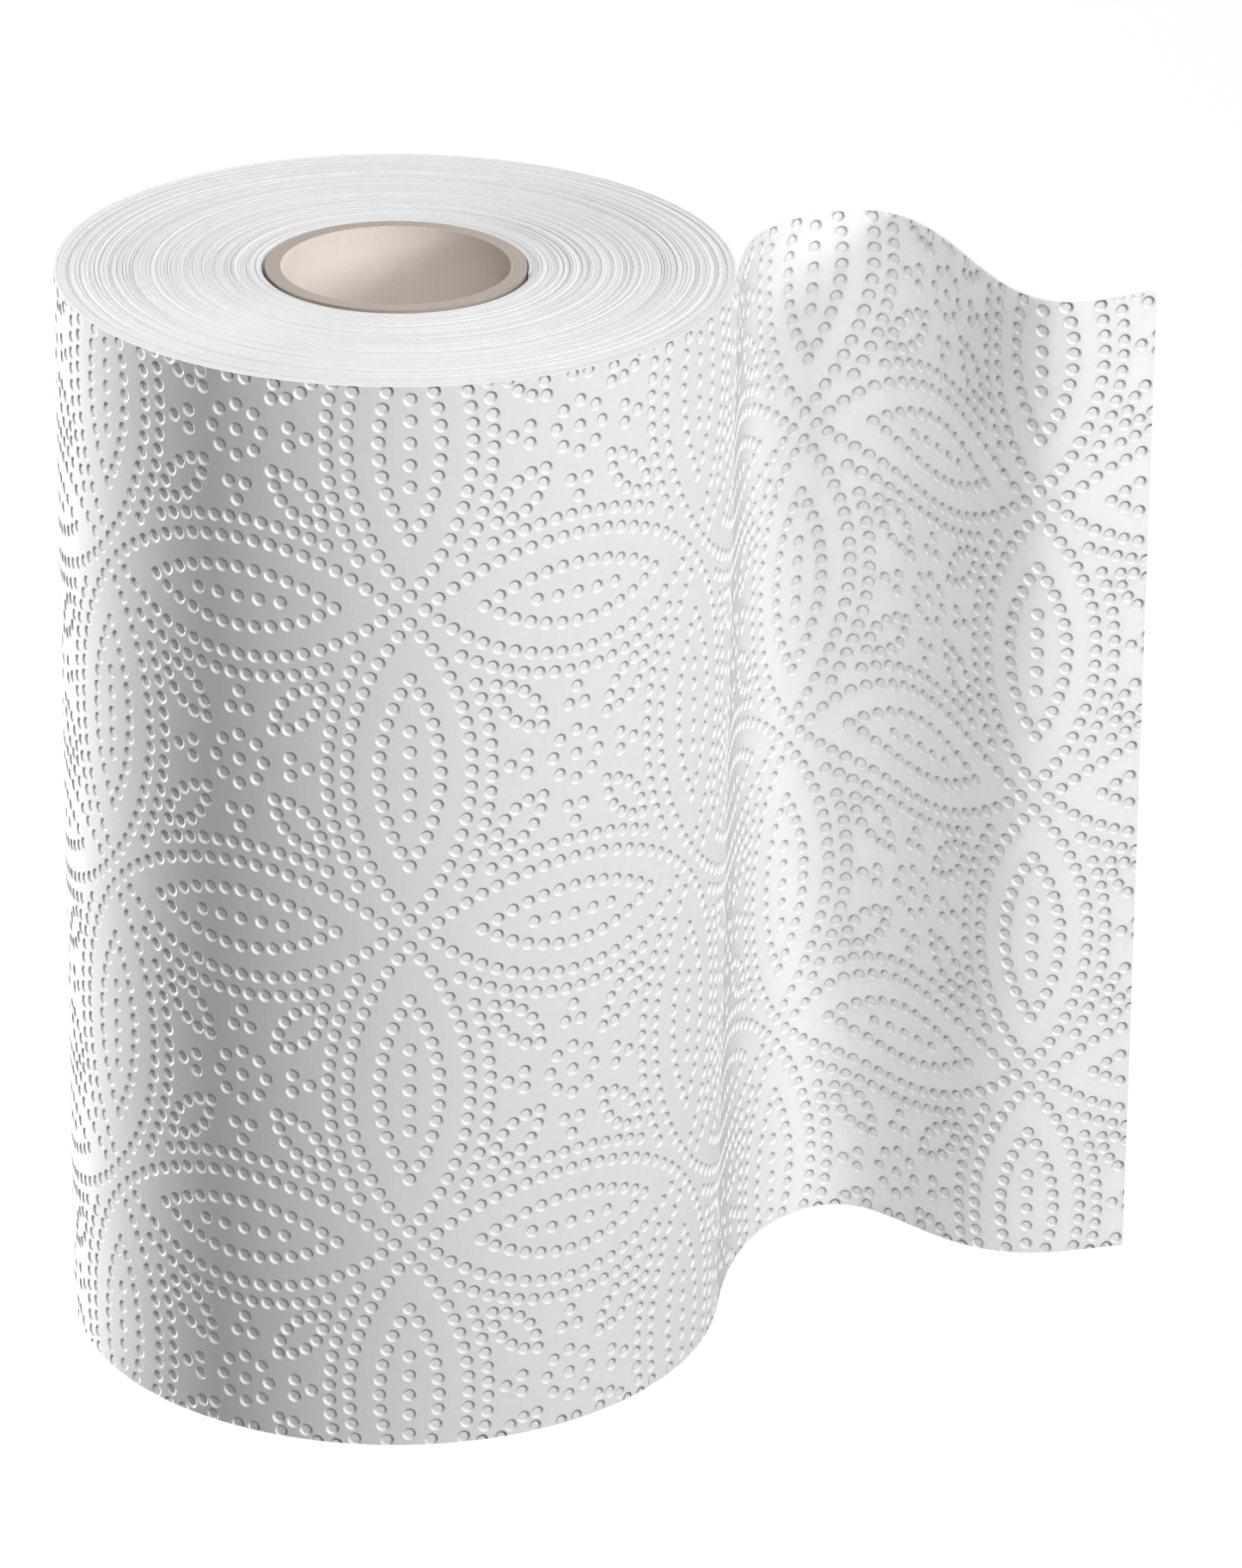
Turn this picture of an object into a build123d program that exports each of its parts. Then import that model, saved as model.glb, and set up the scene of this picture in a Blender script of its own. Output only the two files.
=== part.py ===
from build123d import *
import os

# A roll of embossed kitchen paper standing on its end, with the loose end of the
# sheet led off its side in a wave. The frame's origin is on the core's axis at the
# bottom end, +Z runs up the core, and all lengths are in millimetres.

# The paper web
sheet_width = 220.0        # height of the roll, one sheet's width
outer_radius = 65.4        # where the loose end leaves the roll
sheet_thickness = 0.5      # two embossed plies
turn_gap = 0.1             # air between one turn and the next
departure_angle = -8.0     # where the loose end leaves, from +X about +Z

# The cardboard core
core_bore_radius = 22.0
core_wall = 3.0

# The wound turns, as they show on both ends: one groove stands for several turns
turns_per_groove = 8
groove_depth = 0.6
crest_drop = 0.05          # how far the crests between grooves lie below the end's bands
rim_band = 1.0             # flat band outside the outermost groove
core_band = 0.8            # flat band next to the core, or a little more

# The loose end's way from where it leaves the roll, as (out from the roll's side,
# on past that line). Its foot stands level with the roll's, its head leans forward.
foot_way = [(3.4, 28.7), (8.0, 38.6), (20.1, 48.2), (39.4, 38.7), (59.8, 31.8), (80.3, 38.0)]
head_way = [(3.6, 31.6), (8.3, 37.8), (20.0, 44.1), (42.9, 18.8), (63.3, -2.0), (79.0, 6.5)]
root_weight = 1.0          # how strongly it holds its direction where it leaves
edge_weight = 0.7          # and at its free edge
level_count = 22           # bands from foot to head, as many as the lean needs

turn_pitch = sheet_thickness + turn_gap
core_outer_radius = core_bore_radius + core_wall
groove_pitch = turns_per_groove * turn_pitch


def half_turns(end_radius, pitch):
    """The last turn of a spiral that ends at (end_radius, 0), as two half circles.

    Each is (centre x, radius, start angle). The centres lie a quarter of the pitch
    either side of the axis, so the halves meet smoothly. Turns further in have the
    same centres, and radii that are whole pitches less.
    """
    return [
        (pitch / 4, end_radius - pitch / 4, 180),
        (-pitch / 4, end_radius - 3 * pitch / 4, 0),
    ]


def wound_body():
    """The turns on the roll, bounded by the outermost turn of the web's own spiral."""
    arcs = []
    for centre, radius, start in reversed(half_turns(outer_radius, turn_pitch)):
        arcs.append(CenterArc((centre, 0), radius, start, 180))
    step = Line(arcs[1] @ 1, arcs[0] @ 0)
    outline = make_face([*arcs, step])
    return extrude(outline - Circle(core_outer_radius), sheet_width)


def loose_end_section(way, height):
    """The loose end on one level: a strip as thick as the sheet, tangent to the roll."""
    root = Vector(outer_radius, 0)
    points = [root] + [root + place for place in way]
    ends = [(0, 1), points[-1] - points[-2]]
    face_side = Spline(*points, tangents=ends, tangent_scalars=[root_weight, edge_weight])
    samples = 2 * len(way)
    offset_points = []
    for index in range(samples + 1):
        along = face_side % (index / samples)
        leftwards = Vector(-along.Y, along.X)
        offset_points.append(face_side @ (index / samples) + leftwards * sheet_thickness)
    back_side = Spline(*offset_points, tangents=[face_side % 0, face_side % 1])
    free_edge = Line(face_side @ 1, back_side @ 1)
    root_edge = Line(back_side @ 0, face_side @ 0)
    return Pos(0, 0, height) * make_face([face_side, free_edge, back_side, root_edge])


def loose_end():
    """The sheet that has left the roll, in level bands that lean on from foot to head."""
    sections = []
    for level in range(level_count + 1):
        share = level / level_count
        way = []
        for foot, head in zip(foot_way, head_way):
            way.append(Vector(*foot) + (Vector(*head) - Vector(*foot)) * share)
        sections.append(loose_end_section(way, share * sheet_width))
    return loft(sections, ruled=True)


def end_relief(end_height, inward):
    """What comes off one end between its two flat bands. inward is -1 on top, 1 below.

    A comb of V teeth is revolved half a turn about each of the spiral's two centres,
    so the grooves run round the end as the web does.
    """
    outermost = outer_radius - rim_band
    count = int((outermost - core_outer_radius - core_band) / groove_pitch)
    crest = end_height + inward * crest_drop
    tip = end_height + inward * groove_depth
    brim = end_height - inward * groove_depth
    combs = []
    for missing, (centre, radius, start) in enumerate(half_turns(outermost, groove_pitch)):
        # the first and last flanks run on out of the end
        corners = [(radius + groove_pitch / 2, brim)]
        for tooth in range(count - missing):
            inner = radius - (tooth + 1) * groove_pitch
            corners += [(inner + groove_pitch / 2, tip), (inner, crest)]
        corners[-1] = (inner - groove_pitch / 2, brim)
        comb = revolve(Plane.XZ * make_face(Polyline(*corners, close=True)), Axis.Z, 180)
        combs.append(Pos(centre, 0, 0) * Rot(0, 0, start) * comb)
    return combs


def paper_roll():
    web = wound_body() + loose_end()
    web -= end_relief(sheet_width, -1)
    web -= end_relief(0, 1)
    return Rot(0, 0, departure_angle) * web


def core_tube():
    return extrude(Circle(core_outer_radius) - Circle(core_bore_radius), sheet_width)


os.makedirs("parts", exist_ok=True)
pieces = {"paper_roll": paper_roll(), "core_tube": core_tube()}
for name, piece in pieces.items():
    export_step(piece, f"parts/{name}.step")
    print(name, "volume", round(piece.volume), "mm3, size", piece.bounding_box().size)
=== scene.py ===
# %% [markdown]
# A roll of kitchen paper stands on its end, and the loose end of its sheet leads off to
# the right in a wave. The solids already hold the true size: the paper as one web, and
# the cardboard core. This lesson dresses them. The web gets its embossed dots as real
# dimples, the ends get the edges of every turn, and paper and board get their surfaces.
# The frame comes first, because all that follows is placed in it.

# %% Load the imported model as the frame
import math
import bpy
import numpy as np
from mathutils import Matrix, Vector
from mathutils.geometry import delaunay_2d_cdt


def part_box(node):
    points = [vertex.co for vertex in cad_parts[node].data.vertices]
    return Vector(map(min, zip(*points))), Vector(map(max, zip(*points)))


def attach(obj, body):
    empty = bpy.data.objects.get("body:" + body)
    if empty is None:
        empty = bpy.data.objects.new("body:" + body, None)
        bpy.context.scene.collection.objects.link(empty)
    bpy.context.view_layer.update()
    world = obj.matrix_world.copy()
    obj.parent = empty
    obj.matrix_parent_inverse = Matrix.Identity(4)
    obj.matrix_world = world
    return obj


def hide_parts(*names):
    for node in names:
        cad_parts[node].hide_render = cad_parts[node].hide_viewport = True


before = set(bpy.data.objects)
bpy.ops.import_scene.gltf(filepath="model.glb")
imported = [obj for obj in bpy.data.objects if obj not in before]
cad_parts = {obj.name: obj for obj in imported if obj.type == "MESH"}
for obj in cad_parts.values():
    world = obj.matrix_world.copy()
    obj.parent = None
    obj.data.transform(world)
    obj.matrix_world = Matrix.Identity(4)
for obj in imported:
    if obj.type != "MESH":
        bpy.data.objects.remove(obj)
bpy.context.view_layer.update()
_, core_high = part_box("core_tube")
sheet_width = 1000 * core_high.z         # the roll is one sheet's width tall, in mm

# %% [markdown]
# The camera looks down on the roll by 24 degrees, from over a metre away, through a long
# lens. That keeps the roll's sides nearly upright. It is turned a little to the right,
# because the roll stands left of the middle, with the loose end on its right.

# %% Place the camera
camera_place = (0.0, -1.2674, 0.6780)
camera_pitch = 24.0736                   # degrees below level
camera_yaw = 1.8248                      # degrees to the right, about its own upright axis
lens_length = 162.0                      # mm
film_height = 36.0                       # mm

lens = bpy.data.cameras.new("long_lens")
lens.sensor_fit = "VERTICAL"
lens.sensor_height = film_height
lens.lens = lens_length
camera = bpy.data.objects.new("camera", lens)
bpy.context.scene.collection.objects.link(camera)
tilt = Matrix.Rotation(math.radians(90 - camera_pitch), 4, "X")
swing = Matrix.Rotation(math.radians(-camera_yaw), 4, "Y")
camera.matrix_world = Matrix.Translation(camera_place) @ tilt @ swing
bpy.context.scene.camera = camera
print("camera looks along", camera.matrix_world.to_quaternion() @ Vector((0, 0, -1)))

# %% [markdown]
# Two small helpers serve every material. One turns a colour as it is picked on a screen
# into the linear values that light is worked out in. The other adds one node, with its
# settings, its fixed values and its links, so that a material reads as a list of steps.

# %% Helpers for colours and nodes
def linear(hex_colour):
    """An sRGB colour such as "#F5F5F4" as linear red, green, blue and alpha."""
    channels = [int(hex_colour[at:at + 2], 16) / 255 for at in (1, 3, 5)]
    bent = [c / 12.92 if c <= 0.04045 else ((c + 0.055) / 1.055) ** 2.4 for c in channels]
    return (*bent, 1.0)


def add_node(tree, kind, settings=None, values=None, links=None):
    """Adds one node. settings are its properties, values its sockets, links their sources."""
    node = tree.nodes.new(kind)
    for name, value in (settings or {}).items():
        setattr(node, name, value)
    for name, value in (values or {}).items():
        node.inputs[name].default_value = value
    for name, source in (links or {}).items():
        tree.links.new(source, node.inputs[name])
    return node


def new_material(name):
    """An empty material with its output node, and its node tree."""
    material = bpy.data.materials.new(name)
    material.use_nodes = True
    material.node_tree.nodes.clear()
    return material, material.node_tree


print("white paper in linear light:", linear("#F5F5F4"))

# %% [markdown]
# The roll stands on a plain white floor that runs past the picture on every side. The
# camera has to see it as white, but a white floor under strong lamps throws much light
# back up on the paper and flattens it. So the camera sees a floor that mostly glows by
# itself and still takes the roll's shadow, and other rays meet a plain grey one.

# %% Lay the floor
floor_reach = 6.0                        # metres each way
floor_glow = 0.90                        # of white
floor_shade = 0.18                       # how much of the lamps' light it adds to that


def seen_as_white(tree):
    """1 for a ray from the camera, and one that a surface mirrors or passes on, else 0."""
    rays = add_node(tree, "ShaderNodeLightPath")
    direct = add_node(tree, "ShaderNodeMath", {"operation": "MAXIMUM"},
                      links={0: rays.outputs["Is Camera Ray"], 1: rays.outputs["Is Glossy Ray"]})
    return add_node(tree, "ShaderNodeMath", {"operation": "MAXIMUM"},
                    links={0: direct.outputs[0], 1: rays.outputs["Is Transmission Ray"]})


floor_mesh = bpy.data.meshes.new("floor")
corners = [(x * floor_reach, y * floor_reach, 0) for x, y in ((-1, -1), (1, -1), (1, 1), (-1, 1))]
floor_mesh.from_pydata(corners, [], [(0, 1, 2, 3)])
floor = bpy.data.objects.new("floor", floor_mesh)
bpy.context.scene.collection.objects.link(floor)

backdrop_paper, tree = new_material("backdrop_paper")
seen = seen_as_white(tree)
glow = add_node(tree, "ShaderNodeEmission", values={"Strength": floor_glow})
shaded = add_node(tree, "ShaderNodeBsdfDiffuse",
                  values={"Color": (floor_shade, floor_shade, floor_shade, 1)})
white = add_node(tree, "ShaderNodeAddShader", links={0: glow.outputs[0], 1: shaded.outputs[0]})
grey = add_node(tree, "ShaderNodeBsdfDiffuse", values={"Color": linear("#8C8C8C")})
choice = add_node(tree, "ShaderNodeMixShader",
                  links={0: seen.outputs[0], 1: grey.outputs[0], 2: white.outputs[0]})
add_node(tree, "ShaderNodeOutputMaterial", links={"Surface": choice.outputs[0]})
floor_mesh.materials.append(backdrop_paper)
print("floor covers", 2 * floor_reach, "m each way")

# %% [markdown]
# Plain soft studio light. The key lamp stands to the right of the camera, so each dimple
# is dark on its right wall and bright on its left one. A top lamp and a weak one at the
# left light the roll's end and its bore. A fill lamp behind serves the far side, and one
# near the loose end's back shines through the single sheet. A narrow upright strip stands
# behind the roll on the left, with a grid before it that holds its light together: it
# brightens that edge alone, and leaves the darkest band on the roll's left half.

# %% Hang the lamps
aim = Vector((0.02, 0.0, 0.11))          # the middle of the roll and its loose end


def soft_lamp(name, azimuth, elevation, distance, size, level):
    """A square soft lamp. azimuth is in degrees to the right of the camera's side, and
    level is how bright it shows white paper that faces it, where 1 is white."""
    across = math.radians(azimuth)
    up = math.radians(elevation)
    way = Vector((math.sin(across) * math.cos(up), -math.cos(across) * math.cos(up), math.sin(up)))
    lamp = bpy.data.lights.new(name, "AREA")
    lamp.size = size
    lamp.energy = level * (math.pi * distance) ** 2
    holder = bpy.data.objects.new(name, lamp)
    holder.location = aim + way * distance
    holder.rotation_euler = way.to_track_quat("Z", "Y").to_euler()
    bpy.context.scene.collection.objects.link(holder)
    return holder


soft_lamp("key_lamp", azimuth=52, elevation=20, distance=1.6, size=0.4, level=0.52)
soft_lamp("top_lamp", azimuth=10, elevation=57, distance=1.6, size=0.4, level=0.52)
soft_lamp("end_lamp", azimuth=-100, elevation=65, distance=1.6, size=0.4, level=0.09)
soft_lamp("fill_lamp", azimuth=-155, elevation=10, distance=1.6, size=0.5, level=0.40)
soft_lamp("back_lamp", azimuth=155, elevation=25, distance=0.45, size=0.2, level=0.60)

# The strip, in metres. Its grid makes the light fall off evenly from the beam's middle.
edge_azimuth = -120
edge_shift = 0.058                       # from the aim towards the roll's left front
strip_height = 0.30
beam_run = 0.32                          # from the strip to the roll's side
beam_reach = 0.045                       # there, from the beam's middle to where it ends
strip_power = 0.070                      # watts, found by trial

edge_lamp = soft_lamp("edge_lamp", edge_azimuth, elevation=6, distance=0.37, size=0.03, level=0)
edge_turn = math.radians(edge_azimuth)
edge_lamp.location += Vector((math.cos(edge_turn), math.sin(edge_turn), 0)) * edge_shift
edge_lamp.data.shape = "RECTANGLE"
edge_lamp.data.size_y = strip_height
edge_lamp.data.spread = 2 * math.atan(beam_reach / beam_run)
edge_lamp.data.energy = strip_power

# %% [markdown]
# The world around the studio is white where the camera, or a ray that a surface mirrors
# or passes on, looks past the floor. All other rays meet a world that is nearly dark, so
# that the lamps alone shape the paper.

# %% Set the world
world_level = 0.01                       # of white, from every side

world = bpy.data.worlds.new("studio")
world.use_nodes = True
world.node_tree.nodes.clear()
tree = world.node_tree
seen = seen_as_white(tree)
around = add_node(tree, "ShaderNodeBackground", values={"Strength": world_level})
behind = add_node(tree, "ShaderNodeBackground", values={"Strength": 1.0})
for background in (around, behind):
    background.inputs["Color"].default_value = (1, 1, 1, 1)
choice = add_node(tree, "ShaderNodeMixShader",
                  links={0: seen.outputs[0], 1: around.outputs[0], 2: behind.outputs[0]})
add_node(tree, "ShaderNodeOutputWorld", links={"Surface": choice.outputs[0]})
bpy.context.scene.world = world
bpy.context.scene.view_settings.view_transform = "Standard"
print("world:", world.name, "at", world_level, "of white")

# %% [markdown]
# The paper is one web, so every place on it has two coordinates in mm: s along the web,
# from where it leaves the roll, negative on the roll and positive on the loose end, and
# z up its width. On the roll the web follows a spiral made of half circles on two
# centres, a turn's pitch apart after each turn. The same few sizes as in the solids give
# the same curve here.

# %% Follow the web round the roll
outer_radius = 65.4
sheet_thickness = 0.5
turn_pitch = 0.6                         # sheet and air
departure_angle = math.radians(-8.0)     # where the loose end leaves, from +X about +Z
core_outer_radius = 25.0
swing_round = np.array([[math.cos(departure_angle), math.sin(departure_angle)],
                        [-math.sin(departure_angle), math.cos(departure_angle)]])
half_count = 2 * int((outer_radius - core_outer_radius) / turn_pitch) + 2
half_radii = outer_radius - turn_pitch / 4 - np.arange(half_count) * turn_pitch / 2
half_starts = np.concatenate([[0], np.cumsum(math.pi * half_radii)])


def along_spiral(s):
    """Position and direction of the web's outer face on the roll, for each s up to 0."""
    back = np.maximum(-np.asarray(s, float), 0)
    half = np.minimum(np.searchsorted(half_starts, back, side="right") - 1, half_count - 1)
    radius = half_radii[half]
    even = half % 2 == 0
    angle = np.where(even, 2 * math.pi, math.pi) - (back - half_starts[half]) / radius
    centre = np.where(even, turn_pitch / 4, -turn_pitch / 4)
    place = np.column_stack([centre + radius * np.cos(angle), radius * np.sin(angle)])
    direction = np.column_stack([-np.sin(angle), np.cos(angle)])
    return place, direction


first_turn = float(half_starts[2])
print("the outermost turn is", round(first_turn, 1), "mm long")

# %% [markdown]
# The loose end leaves the roll tangentially and waves. A cloth simulation would find a
# wave of its own, but this one is known, so it is drawn. Its foot and its head follow two
# different ways, so the sheet leans forward towards its free edge. A cubic spline through
# a few places, held to its direction at both ends, gives each level's curve. A table of
# evenly spaced places on 23 levels then serves all vertices of the sheet.

# %% Follow the loose end
# Places on the two ways, out from the roll's side and on past where the sheet leaves it
foot_way = [(3.4, 28.7), (8.0, 38.6), (20.1, 48.2), (39.4, 38.7), (59.8, 31.8), (80.3, 38.0)]
head_way = [(3.6, 31.6), (8.3, 37.8), (20.0, 44.1), (42.9, 18.8), (63.3, -2.0), (79.0, 6.5)]
root_weight = 1.0                        # how strongly it holds its direction at its root
edge_weight = 0.7                        # and at its free edge
level_count = 22                         # bands from foot to head
step_count = 240                         # even steps along the wave
span_points = 61                         # places worked out from one knot to the next


def wave(way):
    """Evenly spaced places on the spline from the roll's side through the way."""
    knots = np.vstack([(0, 0), way])
    gaps = np.hypot(*np.diff(knots, axis=0).T)
    count = len(knots)
    system = np.eye(count)
    slopes = np.zeros((count, 2))
    slopes[0] = (0, root_weight)
    slopes[-1] = edge_weight * (knots[-1] - knots[-2]) / gaps[-1]
    for at in range(1, count - 1):
        before, after = gaps[at - 1], gaps[at]
        system[at, at - 1:at + 2] = 1 / before, 2 / before + 2 / after, 1 / after
        coming = (knots[at] - knots[at - 1]) / before ** 2
        going = (knots[at + 1] - knots[at]) / after ** 2
        slopes[at] = 3 * (coming + going)
    speeds = np.linalg.solve(system, slopes)
    share = np.linspace(0, 1, span_points)[:, None]
    spans = []
    for at, gap in enumerate(gaps):
        spans.append((2 * share ** 3 - 3 * share ** 2 + 1) * knots[at]
                     + (share ** 3 - 2 * share ** 2 + share) * gap * speeds[at]
                     + (3 * share ** 2 - 2 * share ** 3) * knots[at + 1]
                     + (share ** 3 - share ** 2) * gap * speeds[at + 1])
    curve = np.vstack([spans[0]] + [span[1:] for span in spans[1:]])
    run = np.concatenate([[0], np.cumsum(np.hypot(*np.diff(curve, axis=0).T))])
    stops = np.linspace(0, run[-1], step_count + 1)
    even = np.column_stack([np.interp(stops, run, curve[:, axis]) for axis in (0, 1)])
    return even, run[-1]


foot = np.array(foot_way)
head = np.array(head_way)
waves = [wave(foot + (head - foot) * level / level_count) for level in range(level_count + 1)]
loose_length = sum(length for places, length in waves) / len(waves)
wave_places = np.array([places for places, length in waves]) + (outer_radius, 0)
wave_steps = np.gradient(wave_places, axis=1) * step_count / loose_length
wave_leans = np.gradient(wave_places, sheet_width / level_count, axis=0)
print("the loose end is", round(loose_length, 1), "mm long")

# %% [markdown]
# One function now places the whole web. It gives a point's position and the directions
# along the web, up the web and out of its face. Everything embossed, cut or printed on
# paper can then be drawn flat, as on the machine that made it, and wound up afterwards.

# %% Place any point of the web
def from_table(table, s, z):
    """The table's value between its four nearest entries, for each s and z."""
    step = np.clip(s / loose_length, 0, 1) * step_count
    level = np.clip(z / sheet_width, 0, 1) * level_count
    near_step = np.minimum(step.astype(int), step_count - 1)
    near_level = np.minimum(level.astype(int), level_count - 1)
    across = (step - near_step)[:, None]
    up = (level - near_level)[:, None]
    low, high = (table[row, near_step] * (1 - across) + table[row, near_step + 1] * across
                 for row in (near_level, near_level + 1))
    return low * (1 - up) + high * up


def unit(vectors):
    return vectors / np.linalg.norm(vectors, axis=1)[:, None]


def on_web(s, z):
    """Points of the web's outer face in mm, and its directions along, up and out."""
    s = np.asarray(s, float)
    z = np.asarray(z, float)
    place, direction = along_spiral(s)
    lean = np.zeros_like(place)
    loose = s > 0
    place[loose] = from_table(wave_places, s[loose], z[loose])
    direction[loose] = from_table(wave_steps, s[loose], z[loose])
    lean[loose] = from_table(wave_leans, s[loose], z[loose])
    place = np.column_stack([place @ swing_round, z])
    along = unit(np.column_stack([direction @ swing_round, np.zeros(len(s))]))
    up = unit(np.column_stack([lean @ swing_round, np.ones(len(s))]))
    out = unit(np.cross(along, up))
    return place, along, np.cross(out, along), out


ends, *_ = on_web([0, 0, loose_length, loose_length], [0, sheet_width, 0, sheet_width])
print("root and free edge, foot and head:", ends.round(1).tolist())

# %% [markdown]
# Kitchen paper is embossed between steel rollers: round pins press dimples into both
# plies. Here the dots stand in rows along interlocking circles, a traditional pattern,
# with a leaf in each petal and a flower in each window between them. It is drawn flat
# from a few sizes: circles on a square grid whose radius makes them cross in pairs.

# %% Draw the rows of dots
dot_step = 3.3                           # from dot to dot in a row
leaf_size = (38.0, 11.6)                 # of the leaf in a petal, length and width


def turned(points, degrees):
    angle = math.radians(degrees)
    matrix = np.array([[math.cos(angle), math.sin(angle)], [-math.sin(angle), math.cos(angle)]])
    return np.asarray(points, float) @ matrix


def arc_row(centre, radius, half_angle, facing):
    """Dots at even steps on an arc, with one at either end."""
    count = max(1, round(2 * half_angle * radius / dot_step))
    angles = math.radians(facing) + np.linspace(-half_angle, half_angle, count + 1)
    return np.asarray(centre) + radius * np.column_stack([np.cos(angles), np.sin(angles)])


def leaf_rows(length, width):
    """Two rows that meet in a point at both ends."""
    radius = (length ** 2 + width ** 2) / 4 / width
    half_angle = math.asin(length / 2 / radius)
    upper = arc_row((0, width / 2 - radius), radius, half_angle, 90)
    return np.vstack([upper, upper * (1, -1)])


print("a leaf has", len(leaf_rows(*leaf_size)), "dots round it")

# %% [markdown]
# Where two of the circles overlap they leave a petal, and four petals leave a window
# between them. Each is drawn once about its own middle, with its leaf or its flower.

# %% Draw a petal and a window
pattern_repeat = 66.0                    # from one circle's centre to the next
circle_radius = pattern_repeat / math.sqrt(2)
row_inset = 1.95                         # from a circle to the row on either side of it
vein_step = 4.3                          # from dot to dot in the middle of a petal's leaf
flower_radius = 5.0
bud_dots = [(10.4, 1.75), (10.4, -1.75), (13.8, 0)]      # from the flower's middle
sprig_size = (13.5, 5.6)                 # of the small leaf between two buds
sprig_reach = 16.8                       # from the flower's middle to the sprig's


def petal_dots():
    """The lens where two circles overlap, with a leaf and its vein inside."""
    radius = circle_radius - row_inset
    length = 2 * math.sqrt(radius ** 2 - pattern_repeat ** 2 / 4)
    width = 2 * radius - pattern_repeat
    vein = [(vein_step * place, 0) for place in range(-2, 3)]
    return np.vstack([leaf_rows(length, width), leaf_rows(*leaf_size), vein])


def window_dots():
    """The space between four petals, with a flower and four small leaves inside."""
    radius = circle_radius + row_inset
    half_angle = math.asin(pattern_repeat / radius / math.sqrt(2)) - math.pi / 4
    rows = [[(0, 0)]]
    for facing in range(0, 360, 45):
        rows.append(turned([(flower_radius, 0)], facing))
    for facing in range(0, 360, 90):
        rows.append(turned(arc_row((pattern_repeat, 0), radius, half_angle, 180), facing))
        rows.append(turned(bud_dots, facing))
        rows.append(turned(leaf_rows(*sprig_size) + (sprig_reach, 0), facing + 45))
    return np.vstack(rows)


print(len(petal_dots()), "dots in a petal,", len(window_dots()), "in a window")

# %% [markdown]
# The pattern runs on over the whole web, the loose end too. Where rows meet, two dots
# can fall on one place, so a dot that comes too near an earlier one is left out. The
# pins wear and the paper stretches, so each dot is off its place by a hair.

# %% Spread the pattern over the web
pattern_shift = (8.0, 11.0)              # where the grid lies on the web
dot_clearance = 2.95                     # the least distance between two dots' centres
dot_wander = 0.05                        # mm
chance = np.random.default_rng(7)


def spread_dots(s_from, s_to):
    """The centres of all dots on that stretch of the web."""
    tiles = [(window_dots(), (0, 0), 0), (petal_dots(), (0, pattern_repeat / 2), 0),
             (petal_dots(), (pattern_repeat / 2, 0), 90)]
    drawn = []
    for column in range(int(s_from // pattern_repeat) - 1, int(s_to // pattern_repeat) + 2):
        for row in range(-1, int(sheet_width // pattern_repeat) + 2):
            corner = np.array((column, row)) * pattern_repeat + pattern_shift
            drawn += [turned(dots, turn) + move + corner for dots, move, turn in tiles]
    drawn = np.vstack(drawn)
    low = (s_from - dot_clearance, -dot_clearance)
    high = (s_to + dot_clearance, sheet_width + dot_clearance)
    drawn = drawn[((drawn > low) & (drawn < high)).all(axis=1)]
    cell = dot_clearance / math.sqrt(2)      # so that no cell can hold two dots
    kept = {}
    reach = range(-2, 3)
    for s, z in drawn:
        at = (math.floor(s / cell), math.floor(z / cell))
        around = [kept.get((at[0] + i, at[1] + j)) for i in reach for j in reach]
        if all(n is None or math.hypot(s - n[0], z - n[1]) >= dot_clearance for n in around):
            kept[at] = (s, z)
    places = np.array(list(kept.values()))
    return places + chance.uniform(-dot_wander, dot_wander, places.shape)


under_root = 6.0                         # how far the last turn runs on under the loose end
web_start = -first_turn - under_root
all_dots = spread_dots(web_start, loose_length)
area = (loose_length - web_start) * sheet_width / 100
print(len(all_dots), "dots,", round(len(all_dots) / area, 2), "to the square centimetre")

# %% [markdown]
# A dimple is a real dent: a round, flat floor inside a curved wall. A bump in the
# material would be quicker, but it leaves the roll's outline smooth, and a fine grid that
# is pushed in needs millions of faces before its dots look round. So each dot is two
# rings of points on the flat sheet, the wall's rim and its foot. A blade cuts straight
# through the dots that lie on its line, so their rings are cut at the border here too.

# %% Cut the dots' rings at the web's borders
dot_rim_radius = 1.40
dot_floor_radius = 0.86
border_snap = 0.05                       # mm, nearer points are moved onto the border
edge_step = 2.2                          # of the points along the borders


def cut_to_stretch(ring, s_from, s_to):
    """The part of a ring that lies on the stretch, as corners."""
    for axis, line, inward in ((0, s_from, 1), (0, s_to, -1), (1, 0, 1), (1, sheet_width, -1)):
        ring[abs(ring[:, axis] - line) < border_snap, axis] = line
        height = inward * (ring[:, axis] - line)
        if height.max() <= 0:
            return ring[:0]
        if height.min() < 0:
            corners = []
            after = np.roll(ring, -1, axis=0)
            for here, there, low, high in zip(ring, after, height, np.roll(height, -1)):
                if low >= 0:
                    corners.append(here)
                if low * high < 0:
                    crossing = here + (there - here) * low / (low - high)
                    crossing[axis] = line
                    corners.append(crossing)
            ring = np.array(corners)
    return ring


def border_points(s_from, s_to, step):
    """The stretch's outline as points at even steps, once round."""
    wide = np.linspace(0, 1, max(2, round((s_to - s_from) / step)), endpoint=False)
    tall = np.linspace(0, 1, max(2, round(sheet_width / step)), endpoint=False)
    return np.vstack([
        np.column_stack([s_from + (s_to - s_from) * wide, 0 * wide]),
        np.column_stack([0 * tall + s_to, sheet_width * tall]),
        np.column_stack([s_to - (s_to - s_from) * wide, 0 * wide + sheet_width]),
        np.column_stack([0 * tall + s_from, sheet_width * (1 - tall)]),
    ])


outline = border_points(0, pattern_repeat, edge_step)
print("a repeat of the web has", len(outline), "points round its border")

# %% [markdown]
# A constrained triangulation turns rings and loose points into well-shaped triangles in
# one go, and keeps each ring's edges whole. It may move a point by a hair, so those on a
# border are put back on it, and slivers without an area are left out.

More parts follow.
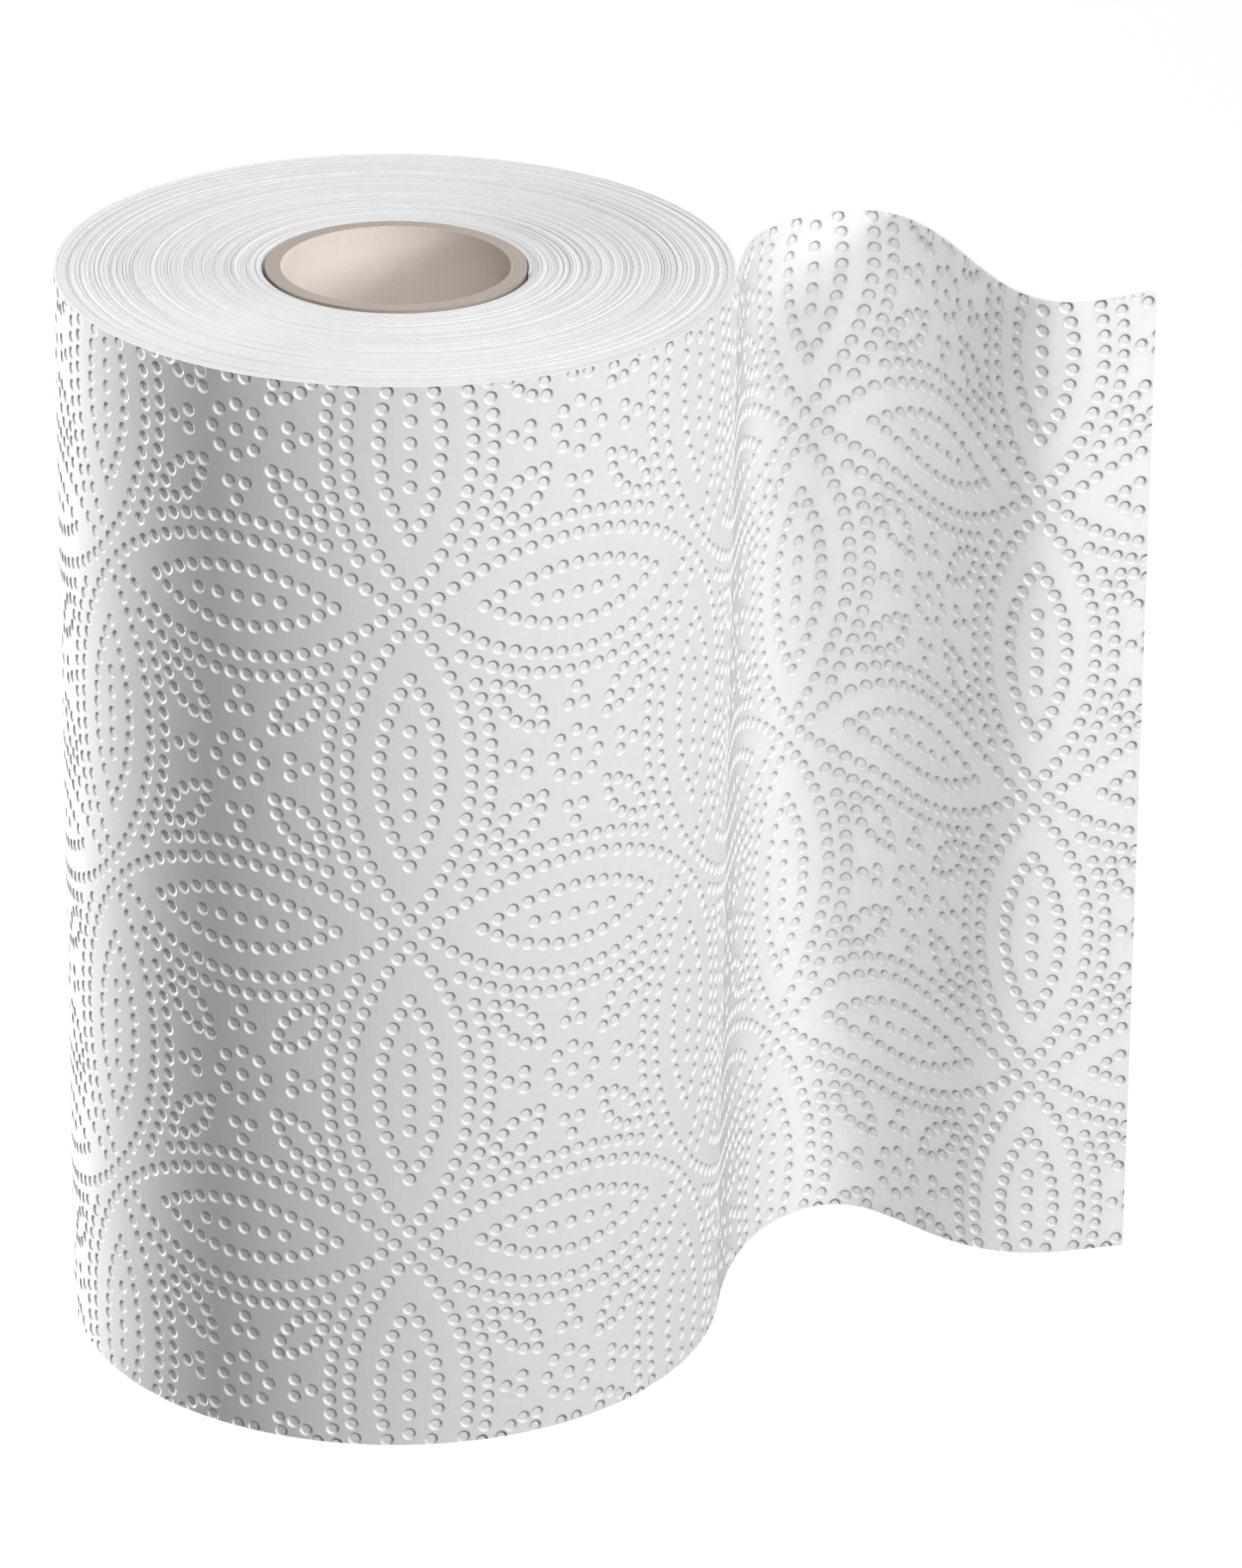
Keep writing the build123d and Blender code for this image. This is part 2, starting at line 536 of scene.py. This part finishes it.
# %% Triangulate a flat stretch
on_line = 1e-3                           # mm, as near as a point on a border has to lie
merge_reach = 1e-4                       # mm, nearer points become one
least_area = 1e-7                        # mm2, of two triangles


def only_used(points, faces):
    """The points that some face uses, and the faces with their new indices."""
    used, packed = np.unique(faces, return_inverse=True)
    return points[used], packed.reshape(faces.shape)


def triangulate(points, loops, s_from, s_to):
    """Triangles between the points that keep the loops' edges."""
    edges = []
    for loop in loops:
        edges += list(zip(loop, np.roll(loop, -1)))
    edges = [(int(a), int(b)) for a, b in edges]
    near_zero = [Vector(p) for p in points - (s_from, 0)]
    result = delaunay_2d_cdt(near_zero, edges, [], 0, merge_reach)
    flat = np.array([tuple(p) for p in result[0]]) + (s_from, 0)
    for axis, line in ((0, s_from), (0, s_to), (1, 0), (1, sheet_width)):
        flat[abs(flat[:, axis] - line) < on_line, axis] = line
    triangles = np.array(result[2])
    a, b, c = (flat[triangles[:, corner]] for corner in range(3))
    doubled = (b[:, 0] - a[:, 0]) * (c[:, 1] - a[:, 1]) - (b[:, 1] - a[:, 1]) * (c[:, 0] - a[:, 0])
    return only_used(flat, triangles[abs(doubled) > least_area])


_, outline_triangles = triangulate(outline, [np.arange(len(outline))], 0, pattern_repeat)
print("without dots it makes", len(outline_triangles), "triangles")

# %% [markdown]
# The next steps ask how far each point lies from its nearest dot. There are thousands of
# dots and still more points, so the dots are put in order along the web first, and a
# point is only held against the few that lie near it.

# %% Find the nearest dot
def dot_distance(points, dots):
    """Each point's distance to the nearest dot's centre, and the way from there to it."""
    distance = np.full(len(points), np.inf)
    nearest = np.zeros((len(points), 2))
    order = np.argsort(dots[:, 0])
    sorted_dots = dots[order]
    reach = 2 * dot_rim_radius
    first = np.searchsorted(sorted_dots[:, 0], points[:, 0] - reach)
    last = np.searchsorted(sorted_dots[:, 0], points[:, 0] + reach)
    for shift in range(int((last - first).max(initial=0))):
        at = first + shift
        valid = at < last
        offset = points[valid] - sorted_dots[at[valid]]
        length = np.hypot(*offset.T)
        better = length < distance[valid]
        index = np.flatnonzero(valid)[better]
        distance[index] = length[better]
        nearest[index] = offset[better] / np.maximum(length[better], 1e-9)[:, None]
    return distance, nearest


border_distances, _ = dot_distance(outline, all_dots)
print(int((border_distances < dot_rim_radius).sum()), "of the outline's points lie in a dot")

# %% [markdown]
# Between the rings lies a loose grid of points, so that the flat paper still bends with
# the roll and the wave. Neither the grid nor the border puts a point close to a ring,
# which would make thin triangles there.

# %% Cut an embossed stretch into triangles
dot_sides = 12
grid_step = 4.5                          # of the points between the dots
border_room = 0.3                        # mm, from a ring to the nearest border point
grid_room = 0.7                          # and to the nearest grid point


def loose_grid(s_from, s_to, row_step):
    """Evenly spaced points inside the stretch."""
    columns = round((s_to - s_from) / grid_step)
    rows = round(sheet_width / row_step)
    grid_s, grid_z = np.meshgrid(np.linspace(s_from, s_to, columns + 1)[1:-1],
                                 np.linspace(0, sheet_width, rows + 1)[1:-1])
    return np.column_stack([grid_s.ravel(), grid_z.ravel()])


def embossed_triangles(s_from, s_to):
    """The flat stretch with two rings for each dot, cut into triangles."""
    near = (all_dots[:, 0] > s_from - dot_rim_radius) & (all_dots[:, 0] < s_to + dot_rim_radius)
    dots = all_dots[near]
    border = border_points(s_from, s_to, edge_step)
    corners = np.isin(border[:, 0], (s_from, s_to)) & np.isin(border[:, 1], (0, sheet_width))
    border = border[corners | (dot_distance(border, dots)[0] > dot_rim_radius + border_room)]
    angles = (np.arange(dot_sides) + 0.5) * 2 * math.pi / dot_sides
    circle = np.column_stack([np.cos(angles), np.sin(angles)])
    points = [border]
    loops = [np.arange(len(border))]
    first = len(border)
    for dot in dots:
        for radius in (dot_rim_radius, dot_floor_radius):
            ring = cut_to_stretch(dot + circle * radius, s_from, s_to)
            if len(ring) > 2:
                points.append(ring)
                loops.append(np.arange(len(ring)) + first)
                first += len(ring)
    grid = loose_grid(s_from, s_to, grid_step)
    points.append(grid[dot_distance(grid, dots)[0] > dot_rim_radius + grid_room])
    return triangulate(np.vstack(points), loops, s_from, s_to), dots


sample_length = 30.0
(sample_points, sample_triangles), sample_dots = embossed_triangles(-sample_length, 0)
print(sample_length, "mm of web:", len(sample_dots), "dots,", len(sample_triangles), "triangles")

# %% [markdown]
# A stretch of paper becomes a closed skin: its outer side with the dimples, its inner
# side one sheet's thickness behind, and a strip all round its edge. First comes one side.
# Its normals are the web's own, so two stretches meet without a seam. Only a dimple's
# wall bends them, more at its foot than at its rim, as a curved wall does.

# %% Press the dots into one side of the web
dot_depth = 0.30                         # mm
pressed_edge = 2.0                       # how far from a cut edge the blade pressed dots flat
rim_slack, floor_slack = 0.13, 0.95      # shares of the depth that count as none and as all
rim_tilt = math.radians(44)              # how steep a dimple's wall starts at its rim
wall_tilt = math.radians(82)             # and how steep it ends at its foot


def dimple_depths(points, dots):
    """How deep each point lies, and the way to it from its dot's centre."""
    distance, way = dot_distance(points, dots)
    share = np.clip((dot_rim_radius - distance) / (dot_rim_radius - dot_floor_radius), 0, 1)
    share[share < rim_slack] = 0             # corners of the rim and the foot, a little
    share[share > floor_slack] = 1           # off their circles by rounding or by an edge
    return share, way


def side_of_web(points, triangles, dots, depth, outward):
    """Positions in mm of one side, its triangles, and a normal for each corner."""
    share, way = dimple_depths(points, dots) if len(dots) else (np.zeros(len(points)), points * 0)
    place, along, up, out = on_web(points[:, 0], points[:, 1])
    from_ends = np.minimum(points[:, 1], sheet_width - points[:, 1])
    from_cut = np.minimum(from_ends, loose_length - points[:, 0])
    sunk = dot_depth * share * np.clip(from_cut / pressed_edge, 0, 1)
    place = place - out * (depth + sunk)[:, None]
    place[:, 2] = np.clip(place[:, 2], 0, sheet_width)
    sinking = way[:, :1] * along + way[:, 1:] * up
    corner_share = share[triangles]
    on_wall = (corner_share.max(axis=1) > 0) & (corner_share.min(axis=1) < 1)
    steepness = rim_tilt + corner_share * (wall_tilt - rim_tilt)
    tilt = np.where(on_wall[:, None], steepness, 0)[..., None]
    normals = out[triangles] * np.cos(tilt) - sinking[triangles] * np.sin(tilt)
    if not outward:
        triangles = triangles[:, ::-1]
        normals = -normals[:, ::-1]
    return place, triangles, normals, on_wall


*_, sample_walls = side_of_web(sample_points, sample_triangles, sample_dots, 0, True)
print("on the sample,", int(sample_walls.sum()), "triangles are part of a dimple's wall")

# %% [markdown]
# The strip that closes a piece follows the border of its stretch. Both sides have the
# same points there, so once those are in order, each side's can be joined to the other's.

# %% Put a border's points in order
def edge_order(points, s_from, s_to):
    """The border's points in order, once round the stretch."""
    s, z = points[:, 0], points[:, 1]
    wide = s_to - s_from
    run = np.full(len(points), -1.0)
    sides = [(abs(s - s_from), 2 * wide + 2 * sheet_width - z),
             (abs(z - sheet_width), wide + sheet_width + s_to - s),
             (abs(s - s_to), wide + z),
             (abs(z), s - s_from)]
    for distance, place in sides:
        run[distance < on_line] = place[distance < on_line]
    border = np.flatnonzero(run >= 0)
    return border[np.argsort(run[border])]


print("the sample's border has", len(edge_order(sample_points, -sample_length, 0)), "points")

# %% [markdown]
# Three pieces show the embossed web: the outermost turn in two halves, and the loose end.
# The turn's inner side stays hidden, so it needs no dots and few points. The loose end
# shows both sides, and what is a dent on one is a bump on the other. Each mesh keeps its
# place on the flat web as a UV map, for the crepe, and marks the dimples' walls.

# %% Wind the outermost turn and the loose end
inner_step = 20.0                        # from row to row on a side that stays hidden
joint_shift = 10.0                       # mm, from half a turn back to where the halves meet


def wind_piece(name, s_from, s_to, both_embossed):
    """A closed piece of the web between two places, in metres, with its own normals."""
    (points, triangles), dots = embossed_triangles(s_from, s_to)
    outer = side_of_web(points, triangles, dots, 0, True)
    rim = edge_order(points, s_from, s_to)
    if both_embossed:
        inner = side_of_web(points, triangles, dots, sheet_thickness, False)
        inner_points, inner_rim = points, rim
    else:
        inside = np.vstack([points[rim], loose_grid(s_from, s_to, inner_step)])
        inner_points, inner_triangles = triangulate(inside, [np.arange(len(rim))], s_from, s_to)
        inner = side_of_web(inner_points, inner_triangles, dots[:0], sheet_thickness, False)
        inner_rim = edge_order(inner_points, s_from, s_to)
    count = len(points)
    strip = []
    for at in range(len(rim)):
        after = (at + 1) % len(rim)
        a, b = rim[at], rim[after]
        c, d = inner_rim[at] + count, inner_rim[after] + count
        strip += [(a, c, b), (b, c, d)]
    strip = np.array(strip)
    places = np.vstack([outer[0], inner[0]])
    a, b, c = (places[strip[:, corner]] for corner in range(3))
    facing = np.cross(b - a, c - a)
    facing = facing / np.maximum(np.linalg.norm(facing, axis=1), 1e-12)[:, None]
    strip_normals = np.repeat(facing[:, None], 3, axis=1)
    faces = np.vstack([outer[1], inner[1] + count, strip])
    normals = np.vstack([outer[2], inner[2], strip_normals])
    walls = np.concatenate([outer[3], inner[3], np.zeros(len(strip))])
    return build_mesh(name, places, faces, normals, np.vstack([points, inner_points]), walls)


def build_mesh(name, places, faces, normals, flat_points, walls):
    """Makes the mesh object. Its UV map is the place on the flat web, in metres."""
    mesh = bpy.data.meshes.new(name)
    mesh.from_pydata((places / 1000).tolist(), [], faces.tolist())
    mesh.shade_smooth()
    web = mesh.uv_layers.new(name="web")
    web.data.foreach_set("uv", (flat_points[faces.ravel()] / 1000).astype(np.float32).ravel())
    steep = mesh.attributes.new("dimple_wall", "FLOAT", "FACE")
    steep.data.foreach_set("value", walls.astype(np.float32))
    mesh.normals_split_custom_set(normals.reshape(-1, 3).tolist())
    piece = bpy.data.objects.new(name, mesh)
    bpy.context.scene.collection.objects.link(piece)
    print(name, len(faces), "triangles")
    return piece


middle_of_turn = -first_turn / 2 - joint_shift
outer_turn_front = wind_piece("outer_turn_front", middle_of_turn, 0, False)
outer_turn_back = wind_piece("outer_turn_back", web_start, middle_of_turn, False)
loose_end = wind_piece("loose_end", 0, loose_length, True)

# %% [markdown]
# Under the outermost turn lie some sixty-five more, and both ends of the roll show their
# edges as fine lines. They are not alike. The web wanders as it is wound, so some turns
# stand proud of their neighbours, some edges lean over, and some gaps are open where
# others are closed. Each of these is a value that keeps its level round whole turns, so
# the lines run as circles, and slips to the next turn's at random on one side of the roll.

# %% Let the turns wander
turn_segments = 160                      # steps in one turn
turn_count = int((outer_radius - turn_pitch - core_outer_radius) / turn_pitch) - 1
steps = np.arange(turn_segments * (turn_count + 1) + 1)
proud_reach = 0.16                       # mm, that a turn's value of 1 lifts its edge
lean_reach = 0.10                        # mm, that a lean lifts one side and lowers the other
gap_depths = (0.06, 0.50)                # mm, of the shallowest and the deepest gap
slip_from, slip_to = 0.55, 0.95          # of a turn: the side where the edges slip
own_share, shared = 0.8, 0.2             # of a value: each turn's own, and several turns' alike
proud_middle = 0.6                       # keeps most turns a little below the proudest
edge_round = 0.05                        # mm, how far an edge's sides lie below its middle


def wander(hold, seed):
    """A value from -1 to 1 for each step. It holds for so many turns, then slips to the next."""
    luck = np.random.default_rng(seed)
    values = luck.uniform(-1, 1, (turn_count + 1) // hold + 2)
    index, step = np.divmod(steps, hold * turn_segments)
    place = step / turn_segments - (hold - 1)
    share = np.clip((place - slip_from) / (slip_to - slip_from), 0, 1)
    share = share * share * (3 - 2 * share)
    return values[index] * (1 - share) + values[index + 1] * share


def edge_profile(seed):
    """For each step, the heights in mm of four lines across the turn's edge, up to 0."""
    proud = own_share * wander(1, seed) + shared * wander(3, seed + 1)
    lean = own_share * wander(1, seed + 3) + shared * wander(2, seed + 4)
    gap = np.maximum(wander(1, seed + 5), 0)
    top = np.minimum(proud_reach * (proud - proud_middle), 0)
    side = lean_reach * lean
    return [top - gap_depths[0] - (gap_depths[1] - gap_depths[0]) * gap,
            np.minimum(top - edge_round + side, 0), top, np.minimum(top - edge_round - side, 0)]


print(turn_count, "turns,", len(steps), "steps along them")

# %% [markdown]
# On each end of the roll a band of four lines of points runs round the spiral: one in the
# gap between two turns, and three over the paper's edge, on its sides and its middle. The
# lines at the foot wander in their own way, as the two ends were cut apart.

# %% Lay lines over both ends
line_shares = (0.0, 0.12, 0.50, 0.88)    # where the four lines lie across a turn's pitch
half_of_step = steps // (turn_segments // 2)
line_angles = 2 * math.pi * (1 - steps / turn_segments)
line_centres = np.where(half_of_step % 2 == 0, turn_pitch / 4, -turn_pitch / 4)
line_radii = half_radii[0] - sheet_thickness - half_of_step * turn_pitch / 2


def band_of_turns(end_height, inward, seed):
    """One end's points in mm, four to each step."""
    lines = []
    for share, lift in zip(line_shares, edge_profile(seed)):
        radius = line_radii - share * turn_pitch
        across = line_centres + radius * np.cos(line_angles)
        flat = np.column_stack([across, radius * np.sin(line_angles)])
        lines.append(np.column_stack([flat @ swing_round, end_height - inward * lift]))
    return np.stack(lines, axis=1).reshape(-1, 3)


top_points = band_of_turns(sheet_width, -1, seed=21)
foot_points = band_of_turns(0, 1, seed=31)
print("each end has", len(top_points), "points, the innermost at a radius of",
      round(float(line_radii[-1]), 2), "mm")

# %% [markdown]
# All but the edges of these turns stays hidden, so the pack of them is one closed piece.
# The line past the last one of a band is the gap of the next turn, so neighbouring turns
# share points. Upright walls join both ends, outside, inside, and at the two steps where
# turns begin.

# %% Join the lines into one piece
crease_angle = math.radians(40)          # sharper folds between faces show as edges


def wound_turn_faces(point_count):
    """Faces over both bands and the walls between them."""
    width = len(line_shares)
    last = turn_segments * turn_count

    def at(step, line):
        return (step + turn_segments * (line // width)) * width + line % width

    faces = []
    for step in range(last):
        for line in range(width):
            quad = (at(step, line), at(step, line + 1), at(step + 1, line + 1), at(step + 1, line))
            faces += [quad, tuple(point_count + index for index in reversed(quad))]
    walls = [(at(step + 1, 0), at(step, 0)) for step in range(turn_segments)]
    walls += [(at(step, width), at(step + 1, width)) for step in range(last - turn_segments, last)]
    walls += [(at(0, line), at(0, line + 1)) for line in range(width)]
    walls += [(at(last, line + 1), at(last, line)) for line in range(width)]
    faces += [(b, a, a + point_count, b + point_count) for a, b in walls]
    return np.array(faces)


both_bands = np.vstack([top_points, foot_points])
points, faces = only_used(both_bands, wound_turn_faces(len(top_points)))
wound_mesh = bpy.data.meshes.new("wound_turns")
wound_mesh.from_pydata((points / 1000).tolist(), [], faces.tolist())
wound_mesh.shade_smooth()
wound_mesh.set_sharp_from_angle(angle=crease_angle)
wound_turns = bpy.data.objects.new("wound_turns", wound_mesh)
bpy.context.scene.collection.objects.link(wound_turns)
print("wound_turns", 2 * len(faces), "triangles")

# %% [markdown]
# Tissue is a felt of bleached wood fibres with no coating, so it is white, fully matt and
# a little uneven. It was scraped off its drying cylinder, which leaves fine crepe lines
# across the web. Real fibres are too fine to show at this distance, so the cloudiness is
# drawn at 2 mm and the crepe at 0.8 mm, just coarse enough to be seen. On the roll the
# paper lies on more paper, and all light comes back out. A single sheet lets some through,
# so the loose end glows where light falls on its back. A dimple's steep wall passes none:
# the light's way through the paper is longest there, so the dots show as rings.

# %% Make the tissue
crepe_lines = (1250, 90, 1)              # to the metre, along the web and across it
cloud_size = 2.0                         # mm
relief = 0.00003                         # metres, of crepe and of clouds


def make_tissue(name, see_through):
    """Creped tissue. see_through is the share of light that a face passes on."""
    material, tree = new_material(name)
    where = add_node(tree, "ShaderNodeUVMap", {"uv_map": "web"})
    solid = add_node(tree, "ShaderNodeTexCoord")
    crepe_place = add_node(tree, "ShaderNodeMapping", values={"Scale": crepe_lines},
                           links={"Vector": where.outputs["UV"]})
    crepe = add_node(tree, "ShaderNodeTexNoise",
                     values={"Scale": 1.0, "Detail": 3.0, "Roughness": 0.6},
                     links={"Vector": crepe_place.outputs[0]})
    cloud = add_node(tree, "ShaderNodeTexNoise",
                     values={"Scale": 1000 / cloud_size, "Detail": 4.0, "Roughness": 0.65},
                     links={"Vector": solid.outputs["Object"]})
    tone = add_node(tree, "ShaderNodeMixRGB",
                    values={"Color1": linear("#EFEFEF"), "Color2": linear("#F7F7F7")},
                    links={"Fac": cloud.outputs["Fac"]})
    crepe_bump = add_node(tree, "ShaderNodeBump", values={"Strength": 1.0, "Distance": relief},
                          links={"Height": crepe.outputs["Fac"]})
    fibre_bump = add_node(tree, "ShaderNodeBump", values={"Strength": 1.0, "Distance": relief},
                          links={"Height": cloud.outputs["Fac"], "Normal": crepe_bump.outputs[0]})
    surface = add_node(tree, "ShaderNodeBsdfPrincipled",
                       values={"Roughness": 0.95, "Specular IOR Level": 0.15},
                       links={"Base Color": tone.outputs[0], "Normal": fibre_bump.outputs[0]})
    passed_on = add_node(tree, "ShaderNodeBsdfTranslucent",
                         links={"Color": tone.outputs[0], "Normal": fibre_bump.outputs[0]})
    wall = add_node(tree, "ShaderNodeAttribute", {"attribute_name": "dimple_wall"})
    share = add_node(tree, "ShaderNodeMath", {"operation": "MULTIPLY_ADD"},
                     values={1: -see_through, 2: see_through}, links={0: wall.outputs["Fac"]})
    sheet = add_node(tree, "ShaderNodeMixShader",
                     links={0: share.outputs[0], 1: surface.outputs[0], 2: passed_on.outputs[0]})
    add_node(tree, "ShaderNodeOutputMaterial", links={"Surface": sheet.outputs[0]})
    return material


backed_tissue = make_tissue("creped_tissue_on_the_roll", see_through=0.0)
for piece in (outer_turn_front, outer_turn_back):
    piece.data.materials.append(backed_tissue)
single_sheet = make_tissue("creped_tissue_single_sheet", see_through=0.42)
loose_end.data.materials.append(single_sheet)
print("tissues:", backed_tissue.name, "and", single_sheet.name)

# %% [markdown]
# The ends of the roll were cut by a saw, which frays the fibres. So the cut edges are
# rougher and a little greyer than the paper's face. They have no crepe, as only the thin
# side of the sheet shows there. The frayed tufts are drawn as coarse as they need to show.

# %% Make the cut edges
tufts = 1500.0                           # to the metre, so each is 0.7 mm wide
fray_relief = 0.00001                    # metres

cut_edges, tree = new_material("cut_tissue_edges")
solid = add_node(tree, "ShaderNodeTexCoord")
fray = add_node(tree, "ShaderNodeTexNoise",
                values={"Scale": tufts, "Detail": 3.0, "Roughness": 0.6},
                links={"Vector": solid.outputs["Object"]})
tone = add_node(tree, "ShaderNodeMixRGB",
                values={"Color1": linear("#E8E8E8"), "Color2": linear("#F2F2F2")},
                links={"Fac": fray.outputs["Fac"]})
bump = add_node(tree, "ShaderNodeBump", values={"Strength": 1.0, "Distance": fray_relief},
                links={"Height": fray.outputs["Fac"]})
surface = add_node(tree, "ShaderNodeBsdfPrincipled",
                   values={"Roughness": 1.0, "Specular IOR Level": 0.1},
                   links={"Base Color": tone.outputs[0], "Normal": bump.outputs[0]})
add_node(tree, "ShaderNodeOutputMaterial", links={"Surface": surface.outputs[0]})
wound_mesh.materials.append(cut_edges)
print("cut edges:", cut_edges.name)

# %% [markdown]
# The core is grey-brown board, wound as a spiral from strips and glued. The smooth, paler
# paper that lines its bore is thin, so the rim and the outside show the raw board. A rim
# is told from the lining by its distance from the core's axis. Single fibres are too fine
# to show, so they are drawn as flocks.

# %% Make the cardboard core
flocks = 900.0                           # of fibres to the metre, so each is 1.1 mm wide
board_relief = 0.00003                   # metres
lining_reach = 0.02205                   # metres, from the axis to just behind the lining

board, tree = new_material("wound_cardboard")
solid = add_node(tree, "ShaderNodeTexCoord")
fibres = add_node(tree, "ShaderNodeTexNoise",
                  values={"Scale": flocks, "Detail": 4.0, "Roughness": 0.6},
                  links={"Vector": solid.outputs["Object"]})
lining = add_node(tree, "ShaderNodeMixRGB",
                  values={"Color1": linear("#E9DFD7"), "Color2": linear("#EFE6DF")},
                  links={"Fac": fibres.outputs["Fac"]})
raw_board = add_node(tree, "ShaderNodeMixRGB",
                     values={"Color1": linear("#ACA198"), "Color2": linear("#B7ADA4")},
                     links={"Fac": fibres.outputs["Fac"]})
level_place = add_node(tree, "ShaderNodeVectorMath", {"operation": "MULTIPLY"},
                       values={1: (1, 1, 0)}, links={0: solid.outputs["Object"]})
from_axis = add_node(tree, "ShaderNodeVectorMath", {"operation": "LENGTH"},
                     links={0: level_place.outputs[0]})
on_board = add_node(tree, "ShaderNodeMath", {"operation": "GREATER_THAN"},
                    values={1: lining_reach}, links={0: from_axis.outputs["Value"]})
colour = add_node(tree, "ShaderNodeMixRGB",
                  links={"Fac": on_board.outputs[0], "Color1": lining.outputs[0],
                         "Color2": raw_board.outputs[0]})
bump = add_node(tree, "ShaderNodeBump", values={"Strength": 1.0, "Distance": board_relief},
                links={"Height": fibres.outputs["Fac"]})
surface = add_node(tree, "ShaderNodeBsdfPrincipled",
                   values={"Roughness": 0.8, "Specular IOR Level": 0.3},
                   links={"Base Color": colour.outputs[0], "Normal": bump.outputs[0]})
add_node(tree, "ShaderNodeOutputMaterial", links={"Surface": surface.outputs[0]})
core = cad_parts["core_tube"]
core.data.materials.clear()
core.data.materials.append(board)
print("core:", core.name, "in", board.name)

# %% [markdown]
# Every piece rides on the roll's one body, and the paper's four pieces together stand for
# the web's solid.

# %% Hand the pieces over
for piece in (outer_turn_front, outer_turn_back, loose_end, wound_turns):
    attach(piece, "root")
    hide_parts("paper_roll")
